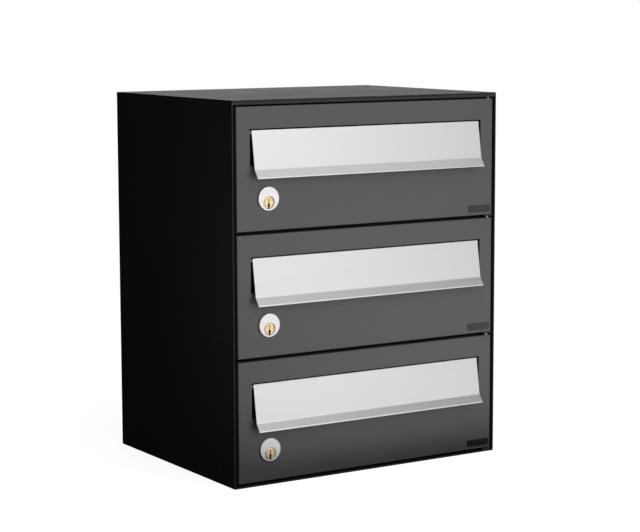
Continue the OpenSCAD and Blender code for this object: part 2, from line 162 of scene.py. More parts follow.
class FinishSettings(PropertyGroup):
    """Colours and surface qualities."""
    casing_colour: colour("Casing", "Powder coat of the casing", (0.042, 0.0417, 0.041))
    door_colour: colour("Doors", "Powder coat of the doors", (0.09, 0.09, 0.0917))
    flap_colour: colour("Flaps", "Anodised aluminium", (0.76, 0.76, 0.763))
    nickel_colour: colour("Lock face", "Satin nickel plate", (0.74, 0.74, 0.735))
    brass_colour: colour("Key plug", "Turned brass", (0.84, 0.67, 0.42))
    zinc_colour: colour("Zinc", "Zinc plated steel", (0.58, 0.59, 0.61))
    steel_colour: colour("Pins", "Drawn steel bar", (0.68, 0.68, 0.69))
    nylon_colour: colour("Bushes", "Moulded nylon", (0.74, 0.72, 0.66))
    badge_colour: colour("Badge", "Gloss black plate", (0.008, 0.008, 0.008))
    rubber_colour: colour("Bumpers", "Soft rubber", (0.02, 0.02, 0.02))
    grain_size: length("Grain size", "Size of the grains in the powder coat", 0.45 * MM)
    peel_size: length("Peel size", "Size of the soft waves in the powder coat", 2.6 * MM)


class StageSettings(PropertyGroup):
    """Camera, lights and floor."""
    standpoint: FloatVectorProperty(name="Standpoint", description="Place of the camera", size=3,
                                    default=(-1.19005, -1.90211, 0.51470), subtype="XYZ", unit="LENGTH")
    azimuth: angle("Azimuth", "Turn of the camera from straight ahead", -32.39)
    elevation: angle("Elevation", "Angle at which the camera looks down", 7.554)
    roll: angle("Roll", "Turn of the camera about its own line of sight", -0.173)
    focal: FloatProperty(name="Lens", description="Focal length on a 36 mm sensor", default=108.75,
                         unit="CAMERA", min=10.0, max=300.0)
    key: factor("Key light", "Brightness of the soft box at the front right", 1.2, 10.0)
    front: factor("Front light", "Brightness of the wide soft box above the front", 1.05, 10.0)
    top: factor("Top light", "Brightness of the soft box high on the right", 1.32, 10.0)
    bounce: factor("Bounce light", "Brightness of the lit floor at the front right", 0.85, 10.0)
    left: factor("Left light", "Brightness of the dim soft box and floor at the front left", 0.28, 10.0)
    rear: factor("Rear light", "Brightness of the panel behind the unit", 1.45, 10.0)
    strip: factor("Strip light", "Brightness of the small strip light beside the left edge", 0.8, 10.0)
    ambient: factor("Ambient", "Brightness of the room", 0.006, 10.0)
    floor_radius: length("Floor radius", "Distance at which the floor has faded out", 1.1, high=10.0)


# ------------------------------------------------------------------ modelling

def object_mode():
    """Leaves edit mode, if it is on."""
    if bpy.context.mode != "OBJECT":
        bpy.ops.object.mode_set(mode="OBJECT")


def select_only(piece):
    """Makes one piece the only selected and the active one, in object mode."""
    object_mode()
    bpy.ops.object.select_all(action="DESELECT")
    piece.select_set(True)
    bpy.context.view_layer.objects.active = piece


def edit(piece):
    """Opens a piece in edit mode."""
    select_only(piece)
    bpy.ops.object.mode_set(mode="EDIT")


def pick(piece, kind, wanted):
    """In edit mode, selects the vertices, edges or faces for which wanted is true."""
    bpy.ops.mesh.select_mode(type=kind)
    bpy.ops.mesh.select_all(action="DESELECT")
    shape = bmesh.from_edit_mesh(piece.data)
    elements = {"VERT": shape.verts, "EDGE": shape.edges, "FACE": shape.faces}[kind]
    found = [element for element in elements if wanted(element)]
    if not found:
        raise RuntimeError(f"{piece.name}: nothing to select")
    for element in found:
        element.select_set(True)
    shape.select_flush_mode()
    bmesh.update_edit_mesh(piece.data)


def named(name):
    """Names the object that an operator has just made, and puts its place in its mesh."""
    piece = bpy.context.object
    piece.name = name
    piece.data.name = name
    bpy.ops.object.transform_apply(location=True, rotation=True, scale=True)
    return piece


def merged_copy(node, name):
    """A copy of a CAD node whose loose triangles are merged into whole faces."""
    piece = bpy.data.objects.new(name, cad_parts[node].data.copy())
    piece.data.name = name
    piece.data.materials.clear()
    bpy.context.scene.collection.objects.link(piece)
    select_only(piece)
    bpy.ops.mesh.customdata_custom_splitnormals_clear()
    edit(piece)
    bpy.ops.mesh.select_all(action="SELECT")
    bpy.ops.mesh.remove_doubles(threshold=WELD)
    bpy.ops.mesh.dissolve_limited(angle_limit=radians(0.5))
    object_mode()
    return piece


def soften(piece, width, segments=3, sharp=50.0):
    """Rounds a piece's sharp edges and shades it smooth, its flat faces staying flat."""
    select_only(piece)
    if width:
        bevel = piece.modifiers.new("edge round", "BEVEL")
        bevel.width = width
        bevel.segments = segments
        bevel.limit_method = "ANGLE"
        bevel.angle_limit = radians(sharp)
        bevel.use_clamp_overlap = False
        bpy.ops.object.modifier_apply(modifier=bevel.name)
    bpy.ops.object.shade_smooth_by_angle(angle=radians(sharp), keep_sharp_edges=False)
    shading = piece.modifiers.new("shading", "WEIGHTED_NORMAL")
    shading.keep_sharp = True
    bpy.ops.object.modifier_apply(modifier=shading.name)


def runs_back(edge):
    """Does this edge run along Y?"""
    return abs((edge.verts[0].co - edge.verts[1].co).y) > 0.1 * MM


def polyline(name, points):
    """A bent wire through points, each vertex pulled out of the last one."""
    bpy.ops.object.select_all(action="DESELECT")
    bpy.ops.mesh.primitive_plane_add(size=MM, location=points[0])
    piece = named(name)
    edit(piece)
    bpy.ops.mesh.select_mode(type="VERT")
    bpy.ops.mesh.select_all(action="SELECT")
    bpy.ops.mesh.merge(type="CENTER")
    for start, end in zip(points, points[1:]):
        bpy.ops.mesh.extrude_vertices_move(TRANSFORM_OT_translate={"value": end - start})
    return piece


def turned(name, profile, centre, axis, steps=64):
    """A round piece: its half section, (radius, along) in metres from centre, spun about axis."""
    object_mode()
    side = Y if abs(axis.x) > 0.5 else X
    piece = polyline(name, [centre + side * radius + axis * along for radius, along in profile])
    bpy.ops.mesh.select_all(action="SELECT")
    bpy.ops.mesh.spin(steps=steps, angle=tau, center=centre, axis=axis)
    bpy.ops.mesh.select_all(action="SELECT")
    bpy.ops.mesh.remove_doubles(threshold=WELD)
    bpy.ops.mesh.normals_make_consistent(inside=False)
    object_mode()
    return piece


def prism(name, outline, centre, depth):
    """A straight piece along Y: its outline, (across, up) in metres from centre, pulled back by depth."""
    object_mode()
    piece = polyline(name, [centre + X * across + Z * up for across, up in outline])
    bpy.ops.mesh.select_all(action="SELECT")
    bpy.ops.mesh.edge_face_add()
    bpy.ops.mesh.extrude_region_move(TRANSFORM_OT_translate={"value": Y * depth})
    bpy.ops.mesh.select_all(action="SELECT")
    bpy.ops.mesh.normals_make_consistent(inside=False)
    object_mode()
    return piece


def block(name, low, high):
    """A box between two corners, ready to be shaped."""
    object_mode()
    bpy.ops.object.select_all(action="DESELECT")
    bpy.ops.mesh.primitive_cube_add(size=1, location=(low + high) / 2, scale=high - low)
    return named(name)


def cut(piece, tool, operation="DIFFERENCE"):
    """Cuts one piece with another, which is used up."""
    select_only(piece)
    change = piece.modifiers.new("cut", "BOOLEAN")
    change.operation = operation
    change.solver = "EXACT"
    change.object = tool
    bpy.ops.object.modifier_apply(modifier=change.name)
    bpy.data.objects.remove(tool)


def join(pieces, name):
    """Makes several closed shells one piece."""
    select_only(pieces[0])
    for piece in pieces[1:]:
        piece.select_set(True)
    bpy.ops.object.join()
    pieces[0].name = name
    pieces[0].data.name = name
    return pieces[0]


def copied(piece, name, shift):
    """A copy of a piece, with its own mesh, moved by shift."""
    select_only(piece)
    bpy.ops.object.duplicate(linked=False)
    bpy.ops.transform.translate(value=shift)
    return named(name)


def arc(centre, radius, start, end, steps=4):
    """Points of a rounded corner in a section, from one angle to another, in degrees."""
    angles = [radians(start + (end - start) * step / steps) for step in range(steps + 1)]
    return [(centre[0] + radius * cos(a), centre[1] + radius * sin(a)) for a in angles]


def settle(piece, body, material, node):
    """Paints a piece, fixes it to its body and lets it stand for its CAD node."""
    piece.data.materials.clear()
    piece.data.materials.append(bpy.data.materials[material])
    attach(piece, body)
    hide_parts(node)


def set_on_levels(first, node, name, body, material):
    """Copies the lowest piece to the levels above, and settles all three. In body, {} is the level."""
    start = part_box(f"lower_{node}")[0]
    pieces = [first]
    for level in LEVELS[1:]:
        pieces.append(copied(first, f"{level}_{name}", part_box(f"{level}_{node}")[0] - start))
    for level, piece in zip(LEVELS, pieces):
        settle(piece, body.format(level), material, f"{level}_{node}")


# ------------------------------------------------------------------ shader groups

def set_input(tree, socket, value):
    """Links an input to another node's output, or gives it a value."""
    if isinstance(value, bpy.types.NodeSocket):
        tree.links.new(value, socket)
    else:
        socket.default_value = value


def add_node(tree, kind, inputs=None, **settings):
    """A shader node with its settings, values and links."""
    made = tree.nodes.new(kind)
    for key, value in settings.items():
        setattr(made, key, value)
    for key, value in (inputs or {}).items():
        set_input(tree, made.inputs[key], value)
    return made


def maths(tree, operation, *values):
    """The result of a sum on numbers or sockets."""
    return add_node(tree, "ShaderNodeMath", dict(enumerate(values)), operation=operation).outputs[0]


def spread(tree, value, low, high, to_low=0.0, to_high=1.0):
    """A value stretched from one range to another, and kept inside it."""
    made = add_node(tree, "ShaderNodeMapRange", {"Value": value, "From Min": low, "From Max": high,
                                                 "To Min": to_low, "To Max": to_high})
    return made.outputs["Result"]


def noise(tree, vector, scale, detail=2.0, roughness=0.5):
    """Noise from 0 to 1 at so many waves in a metre."""
    made = add_node(tree, "ShaderNodeTexNoise", {"Vector": vector, "Scale": scale, "Detail": detail,
                                                 "Roughness": roughness})
    return made.outputs["Fac"]


def new_group(name, inputs, outputs):
    """An empty shader node group and its two end nodes."""
    tree = bpy.data.node_groups.new(name, "ShaderNodeTree")
    for label, kind, default in inputs:
        socket = tree.interface.new_socket(label, in_out="INPUT", socket_type=kind)
        if default is not None:
            socket.default_value = default
    for label in outputs:
        tree.interface.new_socket(label, in_out="OUTPUT", socket_type="NodeSocketFloat")
    return tree, add_node(tree, "NodeGroupInput").outputs, add_node(tree, "NodeGroupOutput").inputs


def powder_texture_group():
    """Fine grains on soft waves, with a slow drift of tone, as powder coat dries."""
    tree, given, out = new_group(
        "Powder Texture",
        [("Vector", "NodeSocketVector", None), ("Grain Scale", "NodeSocketFloat", 2200.0),
         ("Peel Scale", "NodeSocketFloat", 380.0)],
        ["Height", "Grain", "Drift"])
    cells = add_node(tree, "ShaderNodeTexVoronoi", {
        "Vector": given["Vector"], "Scale": given["Grain Scale"], "Smoothness": 0.6}, feature="SMOOTH_F1")
    grain = spread(tree, cells.outputs["Distance"], 0.1, 0.75, 1.0, 0.0)
    peel = noise(tree, given["Vector"], given["Peel Scale"], 1.0)
    tree.links.new(maths(tree, "ADD", maths(tree, "MULTIPLY", grain, 0.35), peel), out["Height"])
    tree.links.new(grain, out["Grain"])
    tree.links.new(spread(tree, noise(tree, given["Vector"], 14.0, 3.0), 0.3, 0.7), out["Drift"])


def edge_highlight_and_thinning_group():
    """Corners lightened as a painted highlight for the light that rounded edges catch, partly the thinner
    finish there, broken up by noise.
    """
    tree, given, out = new_group(
        "Edge Highlight And Thinning",
        [("Vector", "NodeSocketVector", None), ("Width", "NodeSocketFloat", 0.5 * MM),
         ("Break Up", "NodeSocketFloat", 260.0)],
        ["Mask"])
    rounded = add_node(tree, "ShaderNodeBevel", {"Radius": given["Width"]}, samples=4).outputs["Normal"]
    facing = add_node(tree, "ShaderNodeNewGeometry").outputs["True Normal"]
    agreed = add_node(tree, "ShaderNodeVectorMath", {0: rounded, 1: facing}, operation="DOT_PRODUCT")
    ridge = spread(tree, agreed.outputs["Value"], 0.99, 0.8)
    patch = spread(tree, noise(tree, given["Vector"], given["Break Up"], 3.0), 0.35, 0.65, 0.25, 1.0)
    tree.links.new(maths(tree, "MULTIPLY", ridge, patch), out["Mask"])


def settled_dust_group():
    """A thin uneven film on whatever faces up."""
    tree, given, out = new_group(
        "Settled Dust",
        [("Vector", "NodeSocketVector", None), ("Amount", "NodeSocketFloat", 0.1)], ["Mask"])
    normal = add_node(tree, "ShaderNodeNewGeometry").outputs["Normal"]
    up = add_node(tree, "ShaderNodeSeparateXYZ", {"Vector": normal}).outputs["Z"]
    facing = spread(tree, up, 0.6, 1.0)
    patch = spread(tree, noise(tree, given["Vector"], 24.0, 5.0, 0.65), 0.3, 0.75)
    share = maths(tree, "MULTIPLY", facing, given["Amount"])
    tree.links.new(maths(tree, "MULTIPLY", share, patch), out["Mask"])


def drawn_lines_group():
    """Long fine lines, as a die or a brush leaves along a metal part."""
    tree, given, out = new_group(
        "Drawn Lines",
        [("Vector", "NodeSocketVector", None), ("Stretch", "NodeSocketVector", (1.0, 1.0, 1.0)),
         ("Scale", "NodeSocketFloat", 1500.0)],
        ["Height", "Streak"])
    drawn = add_node(tree, "ShaderNodeVectorMath",
                     {0: given["Vector"], 1: given["Stretch"]}, operation="MULTIPLY").outputs[0]
    fine = noise(tree, drawn, given["Scale"], 3.0, 0.6)
    broad = noise(tree, drawn, maths(tree, "MULTIPLY", given["Scale"], 0.12), 2.0)
    tree.links.new(fine, out["Height"])
    both = maths(tree, "MULTIPLY", maths(tree, "ADD", fine, broad), 0.5)
    tree.links.new(spread(tree, both, 0.3, 0.7), out["Streak"])


def lathe_rings_group():
    """Fine rings round an upright row of centres, one to each level, as a lathe leaves."""
    tree, given, out = new_group(
        "Lathe Rings",
        [("Vector", "NodeSocketVector", None), ("Centre X", "NodeSocketFloat", 0.0),
         ("Centre Z", "NodeSocketFloat", 0.0), ("Level Step", "NodeSocketFloat", 1.0),
         ("Scale", "NodeSocketFloat", 3000.0)],
        ["Height", "Streak"])
    place = add_node(tree, "ShaderNodeSeparateXYZ", {"Vector": given["Vector"]})
    across = maths(tree, "SUBTRACT", place.outputs["X"], given["Centre X"])
    up = maths(tree, "SUBTRACT", place.outputs["Z"], given["Centre Z"])
    half = maths(tree, "MULTIPLY", given["Level Step"], 0.5)
    near = maths(tree, "FLOORED_MODULO", maths(tree, "ADD", up, half), given["Level Step"])
    rise = maths(tree, "SUBTRACT", near, half)
    radius = maths(tree, "SQRT", maths(tree, "ADD", maths(tree, "MULTIPLY", across, across),
                                       maths(tree, "MULTIPLY", rise, rise)))
    rings = add_node(tree, "ShaderNodeTexNoise", {
        "W": maths(tree, "MULTIPLY", radius, given["Scale"]), "Scale": 1.0, "Detail": 2.0},
        noise_dimensions="1D").outputs["Fac"]
    smudge = noise(tree, given["Vector"], 180.0, 2.0)
    tree.links.new(rings, out["Height"])
    blend = maths(tree, "MULTIPLY", maths(tree, "ADD", rings, smudge), 0.5)
    tree.links.new(spread(tree, blend, 0.32, 0.68), out["Streak"])


# ------------------------------------------------------------------ materials

class Finish:
    """A material under construction: its tree, its Principled BSDF and its object coordinates."""

    def __init__(self, name, metallic, roughness, specular=0.5):
        material = bpy.data.materials.new(name)
        material.use_nodes = True
        self.tree = material.node_tree
        self.shader = self.tree.nodes["Principled BSDF"]
        self.shader.inputs["Metallic"].default_value = metallic
        self.shader.inputs["Roughness"].default_value = roughness
        self.shader.inputs["Specular IOR Level"].default_value = specular
        self.place = add_node(self.tree, "ShaderNodeTexCoord").outputs["Object"]

    def use(self, group, **values):
        """Places a shared effect, linked and set, and gives its outputs."""
        made = add_node(self.tree, "ShaderNodeGroup", node_tree=bpy.data.node_groups[group])
        set_input(self.tree, made.inputs["Vector"], self.place)
        for key, value in values.items():
            set_input(self.tree, made.inputs[key.replace("_", " ")], value)
        return made.outputs

    def mix(self, share, first, second):
        """A colour between two others."""
        made = add_node(self.tree, "ShaderNodeMix", {"Factor": share}, data_type="RGBA")
        for key, value in (("A", first), ("B", second)):
            socket = next(s for s in made.inputs if s.name == key and s.type == "RGBA")
            set_input(self.tree, socket, (*value, 1.0) if isinstance(value, tuple) else value)
        return next(s for s in made.outputs if s.type == "RGBA")

    def paint(self, socket):
        """Sends a colour to the surface."""
        self.tree.links.new(socket, self.shader.inputs["Base Color"])

    def roughen(self, value, low, high):
        """Sends a value to the roughness, between two limits."""
        self.tree.links.new(spread(self.tree, value, 0.0, 1.0, low, high), self.shader.inputs["Roughness"])

    def bump(self, height, distance):
        """Sends a height from 0 to 1, worth so many metres, to the surface's normal."""
        made = add_node(self.tree, "ShaderNodeBump", {"Height": height, "Distance": distance,
                                                      "Strength": 1.0})
        self.tree.links.new(made.outputs["Normal"], self.shader.inputs["Normal"])


def tinted(base, share):
    """A colour made lighter or darker by a share."""
    return tuple(min(1.0, channel * share) for channel in base)


def powder_coat(name, base, roughness, specular, settings):
    """Fine-textured powder coat, a little paler at its edges as a painted highlight that partly stands for
    the thinner coat there, and dusty on top.
    """
    coat = Finish(name, 0.0, roughness, specular)
    texture = coat.use("Powder Texture", Grain_Scale=1 / settings.grain_size,
                       Peel_Scale=1 / settings.peel_size)
    edge = coat.use("Edge Highlight And Thinning")["Mask"]
    dust = coat.use("Settled Dust", Amount=0.035)["Mask"]
    tone = coat.mix(texture["Drift"], tinted(base, 0.93), tinted(base, 1.07))
    speck = maths(coat.tree, "MULTIPLY", texture["Grain"], 0.25)
    grained = coat.mix(speck, tone, tinted(base, 1.35))
    # painted highlight: the edge mask lightens the coat towards 1.9 times its colour, standing in for light
    # caught by the rounded edges, partly the thinner coat there
    edge_highlighted = coat.mix(maths(coat.tree, "MULTIPLY", edge, 0.3), grained, tinted(base, 1.9))
    coat.paint(coat.mix(dust, edge_highlighted, (0.3, 0.29, 0.27)))
    coat.roughen(texture["Drift"], roughness - 0.03, roughness + 0.03)
    coat.bump(texture["Height"], 0.012 * MM)


def drawn_metal(name, base, roughness, stretch, scale, depth):
    """Metal with lines along its length, such as an extrusion or a drawn bar."""
    metal = Finish(name, 1.0, roughness)
    lines = metal.use("Drawn Lines", Stretch=stretch, Scale=scale)
    edge = metal.use("Edge Highlight And Thinning")["Mask"]
    tone = metal.mix(lines["Streak"], tinted(base, 0.97), tinted(base, 1.02))
    # painted highlight: the edge mask lightens the metal towards 1.12 times its colour, standing in for
    # light caught by the rounded edges, partly the polish of deburred edges
    metal.paint(metal.mix(maths(metal.tree, "MULTIPLY", edge, 0.4), tone, tinted(base, 1.12)))
    metal.roughen(lines["Streak"], roughness - 0.04, roughness + 0.04)
    metal.bump(lines["Height"], depth)


def turned_metal(name, base, roughness, centre, dark, ring_scale):
    """Metal with lathe rings round each level's centre and darker hollows."""
    metal = Finish(name, 1.0, roughness)
    rings = metal.use("Lathe Rings", Centre_X=centre.x, Centre_Z=centre.z, Level_Step=LEVEL_STEP,
                      Scale=ring_scale)
    edge = metal.use("Edge Highlight And Thinning")["Mask"]
    tone = metal.mix(rings["Streak"], dark, base)
    # painted highlight: the edge mask lightens the metal towards 1.1 times its colour, standing in for
    # light caught by the rounded edges, partly the polish of deburred edges
    metal.paint(metal.mix(edge, tone, tinted(base, 1.1)))
    metal.roughen(rings["Streak"], roughness + 0.04, roughness - 0.04)
    metal.bump(rings["Height"], 0.004 * MM)


def zinc_plate(settings):
    """Zinc plate: dull spangled grey with a faint yellow and blue cast."""
    zinc = Finish("zinc_plate", 1.0, 0.38)
    base = tuple(settings.zinc_colour)
    lines = zinc.use("Drawn Lines", Stretch=(1.0, 1.0, 1.0), Scale=700.0)
    edge = zinc.use("Edge Highlight And Thinning")["Mask"]
    cast = spread(zinc.tree, noise(zinc.tree, zinc.place, 90.0, 2.0), 0.35, 0.65)
    warm = (base[0] * 1.03, base[1], base[2] * 0.93)
    cool = (base[0] * 0.94, base[1] * 0.98, base[2] * 1.05)
    tone = zinc.mix(cast, warm, cool)
    # painted highlight: the edge mask lightens the zinc towards 1.25 times its colour, standing in for
    # light caught by the rounded edges, partly the polish of deburred edges
    zinc.paint(zinc.mix(edge, tone, tinted(base, 1.25)))
    zinc.roughen(lines["Streak"], 0.3, 0.46)
    zinc.bump(lines["Height"], 0.006 * MM)


def moulded(name, base, roughness, pale, scale, depth, specular=0.5):
    """Moulded plastic or rubber with a fine skin."""
    skin = Finish(name, 0.0, roughness, specular)
    texture = skin.use("Powder Texture", Grain_Scale=scale, Peel_Scale=scale * 0.2)
    edge = skin.use("Edge Highlight And Thinning")["Mask"]
    tone = skin.mix(texture["Drift"], base, tinted(base, 0.9))
    # painted highlight: the edge mask mixes the rounded edges towards the pale colour, standing in for
    # light that they catch
    skin.paint(skin.mix(maths(skin.tree, "MULTIPLY", edge, 0.5), tone, pale))
    skin.roughen(texture["Grain"], roughness - 0.04, roughness + 0.04)
    skin.bump(texture["Height"], depth)


def make_materials():
    """Builds the shared effects once, then every finish."""
    for build in (powder_texture_group, edge_highlight_and_thinning_group, settled_dust_group, drawn_lines_group,
                  lathe_rings_group):
        build()
    finish = bpy.context.scene.mailbox_finish
    along_x, along_z = (0.004, 1.0, 1.0), (1.0, 1.0, 0.02)
    face, plug = middle("lower_lock_body"), middle("lower_lock_plug")
    powder_coat("casing_coat", tuple(finish.casing_colour), 0.55, 0.25, finish)
    powder_coat("door_coat", tuple(finish.door_colour), 0.42, 0.7, finish)
    drawn_metal("anodised_flap", tuple(finish.flap_colour), 0.42, along_x, 1600.0, 0.004 * MM)
    drawn_metal("drawn_pin", tuple(finish.steel_colour), 0.3, along_z, 1800.0, 0.003 * MM)
    drawn_metal("drawn_rod", tuple(finish.steel_colour), 0.3, along_x, 1800.0, 0.003 * MM)
    turned_metal("satin_nickel", tuple(finish.nickel_colour), 0.36, face, (0.78, 0.77, 0.76), 2600.0)
    turned_metal("turned_brass", tuple(finish.brass_colour), 0.3, plug, (0.66, 0.48, 0.25), 3200.0)
    zinc_plate(finish)
    moulded("bush_nylon", tuple(finish.nylon_colour), 0.45, (0.85, 0.83, 0.78), 1500.0, 0.006 * MM)
    moulded("badge_black", tuple(finish.badge_colour), 0.35, (0.03, 0.03, 0.03), 900.0, 0.002 * MM, 0.2)
    moulded("bumper_rubber", tuple(finish.rubber_colour), 0.75, (0.05, 0.05, 0.05), 1800.0, 0.015 * MM, 0.3)


# ------------------------------------------------------------------ pieces

class MAILBOX_OT_finishes(Operator):
    """Powder coats, metals, nylon and rubber for all pieces"""
    bl_idname = "mailbox.finishes"
    bl_label = "Finishes"

    def execute(self, context):
        make_materials()
        return {"FINISHED"}


class MAILBOX_OT_casing_sheets(Operator):
    """Sheets of the casing with rounded edges: sides, top, bottom, back, header and lowest lug"""
    bl_idname = "mailbox.casing_sheets"
    bl_label = "Casing Sheets"

    def execute(self, context):
        for node, name in SHEETS.items():
            piece = merged_copy(node, name)
            if node == "header_rail":
                round_fold(piece, context.scene.mailbox_casing.fold_round)
            soften(piece, context.scene.mailbox_casing.edge_round)
            settle(piece, "casing", "casing_coat", node)
        return {"FINISHED"}


def round_fold(piece, offset):
    """Rounds the header's upper fold, whose chamfer faces up and forwards."""
    low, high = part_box("header_rail")
    edit(piece)
    pick(piece, "EDGE", lambda e: beside_chamfer(e, high.x - low.x, high.z))
    bpy.ops.mesh.bevel(offset=offset, segments=4)
    object_mode()


def beside_chamfer(edge, width, top):
    """Is this a full-length edge of the header's chamfer, near its top?"""
    long = edge.calc_length() > 0.9 * width
    near = min(vertex.co.z for vertex in edge.verts) > top - 2 * MM
    return long and near and any(abs(face.normal.y + face.normal.z) < 0.1 and face.normal.z > 0.5
                                 for face in edge.link_faces)


class MAILBOX_OT_shelves(Operator):
    """Shelves between the compartments, each with its folded lips and hinge lug"""
    bl_idname = "mailbox.shelves"
    bl_label = "Shelves"

    def execute(self, context):
        first = merged_copy("lower_shelf", "lower_shelf_tray")
        soften(first, context.scene.mailbox_casing.edge_round)
        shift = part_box("upper_shelf")[0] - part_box("lower_shelf")[0]
        second = copied(first, "upper_shelf_tray", shift)
        settle(first, "casing", "casing_coat", "lower_shelf")
        settle(second, "casing", "casing_coat", "upper_shelf")
        return {"FINISHED"}


class MAILBOX_OT_strikes(Operator):
    """Angles on the left side that the cams catch behind"""
    bl_idname = "mailbox.strikes"
    bl_label = "Strikes"

    def execute(self, context):
        first = merged_copy("lower_strike", "lower_strike_angle")
        free_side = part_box("lower_strike")[1].x
        edit(first)
        pick(first, "EDGE", lambda e: strike_corner(e, free_side))
        bpy.ops.mesh.bevel(offset=3 * MM, segments=5)
        object_mode()
        soften(first, context.scene.mailbox_casing.edge_round)
        set_on_levels(first, "strike", "strike_angle", "casing", "casing_coat")
        return {"FINISHED"}


def strike_corner(edge, free_side):
    """Is this one of the two short edges at the free corners of the catching leg?"""
    ends = [vertex.co for vertex in edge.verts]
    free = all(abs(end.x - free_side) < CLOSE for end in ends)
    return free and abs(ends[0].y - ends[1].y) > 0.5 * MM and abs(ends[0].z - ends[1].z) < CLOSE


class MAILBOX_OT_hinge_pins(Operator):
    """Steel hinge pins with chamfered ends"""
    bl_idname = "mailbox.hinge_pins"
    bl_label = "Hinge Pins"

    def execute(self, context):
        piece = merged_copy("hinge_pins", "hinge_pin_set")
        soften(piece, context.scene.mailbox_casing.pin_chamfer, segments=2)
        settle(piece, "casing", "drawn_pin", "hinge_pins")
        return {"FINISHED"}


class MAILBOX_OT_back_rivets(Operator):
    """Countersunk blind rivets that hold the back, each with its drawn mandrel hole"""
    bl_idname = "mailbox.back_rivets"
    bl_label = "Back Rivets"

    def execute(self, context):
        sizes = context.scene.mailbox_casing
        low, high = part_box("back_rivets")
        head, shank, hole = sizes.rivet_radius, sizes.rivet_shank, sizes.mandrel_radius
        deep = high.y - low.y
        tail = deep * 2 / 3
        profile = [(0, -deep * 0.4), (hole, -deep * 0.4), (hole, -0.1 * MM), (hole + 0.15 * MM, 0),
                   (head - 0.1 * MM, 0), (head, -0.05 * MM), (shank, -deep / 6), (shank, -tail),
                   (head - 0.2 * MM, -tail), (head, -tail - 0.3 * MM)]
        profile += arc((head - 1 * MM, -deep + 0.5 * MM), 0.5 * MM, 0, -90, 3) + [(0, -deep)]
        first = turned("rivet", profile, Vector((low.x + head, high.y, low.z + head)), Y, 32)
        across = high.x - low.x - 2 * head
        rise = (high.z - low.z - 2 * head) / (sizes.rivet_rows - 1)
        shifts = [X * across * side + Z * rise * row for side in (0, 1) for row in range(sizes.rivet_rows)]
        rivets = [first] + [copied(first, "rivet_copy", shift) for shift in shifts[1:]]
        piece = join(rivets, "back_rivet_set")
        soften(piece, 0)
        settle(piece, "casing", "casing_coat", "back_rivets")
        return {"FINISHED"}


class MAILBOX_OT_door_trays(Operator):
    """Folded door fronts with rounded cut edges"""
    bl_idname = "mailbox.door_trays"
    bl_label = "Door Trays"

    def execute(self, context):
        first = merged_copy("lower_door_panel", "lower_door_tray")
        soften(first, context.scene.mailbox_door.edge_round)
        set_on_levels(first, "door_panel", "door_tray", "{}_door", "door_coat")
        return {"FINISHED"}


class MAILBOX_OT_door_bushes(Operator):
    """Nylon hinge bushes with chamfered mouths, two in each door"""
    bl_idname = "mailbox.door_bushes"
    bl_label = "Door Bushes"

    def execute(self, context):
        sizes = context.scene.mailbox_door
        low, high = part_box("lower_door_bushes")
        centre = middle("lower_door_bushes")
        wall, bore, tall = (high.x - low.x) / 2, sizes.bush_bore, sizes.bush_length
        chamfer = 0.25 * MM
        profile = [(bore + chamfer, 0), (wall - chamfer, 0), (wall, chamfer), (wall, tall - chamfer),
                   (wall - chamfer, tall), (bore + chamfer, tall), (bore, tall - chamfer),
                   (bore, chamfer), (bore + chamfer, 0)]
        foot = turned("bush", profile, Vector((centre.x, centre.y, low.z)), Z, 40)
        head = copied(foot, "bush_copy", Z * (high.z - low.z - tall))
        first = join([foot, head], "lower_bush_pair")
        soften(first, 0, sharp=30)
        set_on_levels(first, "door_bushes", "bush_pair", "{}_door", "bush_nylon")
        return {"FINISHED"}


class MAILBOX_OT_badges(Operator):
    """Blank badge plates with a raised border"""
    bl_idname = "mailbox.badges"
    bl_label = "Badges"

    def execute(self, context):
        sizes = context.scene.mailbox_door
        low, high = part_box("lower_badge")
        first = block("lower_badge_plate", low, high)
        edit(first)
        pick(first, "EDGE", runs_back)
        bpy.ops.mesh.bevel(offset=sizes.badge_corner, segments=6)
        pick(first, "FACE", lambda f: f.normal.y < -0.9)
        bpy.ops.mesh.inset(thickness=0.12 * MM)
        bpy.ops.mesh.inset(thickness=sizes.badge_border)
        bpy.ops.mesh.inset(thickness=0.06 * MM, depth=-sizes.badge_step)
        pick(first, "VERT", lambda v: v.co.y < low.y + CLOSE and on_outline(v.co, low, high))
        bpy.ops.transform.translate(value=Y * 0.12 * MM)
        object_mode()
        soften(first, 0, sharp=40)
        set_on_levels(first, "badge", "badge_plate", "{}_door", "badge_black")
        return {"FINISHED"}


def on_outline(place, low, high):
    """Is this vertex of a badge's front on its outer outline?"""
    margin = 0.02 * MM
    if min(place.x - low.x, high.x - place.x) < margin or min(place.z - low.z, high.z - place.z) < margin:
        return True
    corner = bpy.context.scene.mailbox_door.badge_corner
    across = max(low.x + corner - place.x, place.x - high.x + corner)
    rise = max(low.z + corner - place.z, place.z - high.z + corner)
    return across > 0 and rise > 0 and Vector((across, rise)).length > corner - margin


class MAILBOX_OT_flap_brackets(Operator):
    """Folded brackets that hold the flaps' rods, with rounded ears"""
    bl_idname = "mailbox.flap_brackets"
    bl_label = "Flap Brackets"

    def execute(self, context):
        first = merged_copy("lower_flap_brackets", "lower_bracket_pair")
        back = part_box("lower_flap_brackets")[1].y
        edit(first)
        pick(first, "EDGE", lambda e: along_x_at(e, back))
        bpy.ops.mesh.bevel(offset=context.scene.mailbox_flap.ear_round, segments=5)
        object_mode()
        soften(first, 0.15 * MM, segments=2)
        set_on_levels(first, "flap_brackets", "bracket_pair", "{}_door", "zinc_plate")
        return {"FINISHED"}


def along_x_at(edge, depth):
    """Does this edge run along X at a given depth?"""
    start, end = (vertex.co for vertex in edge.verts)
    return max(abs(start.y - depth), abs(end.y - depth), abs(start.z - end.z)) < CLOSE


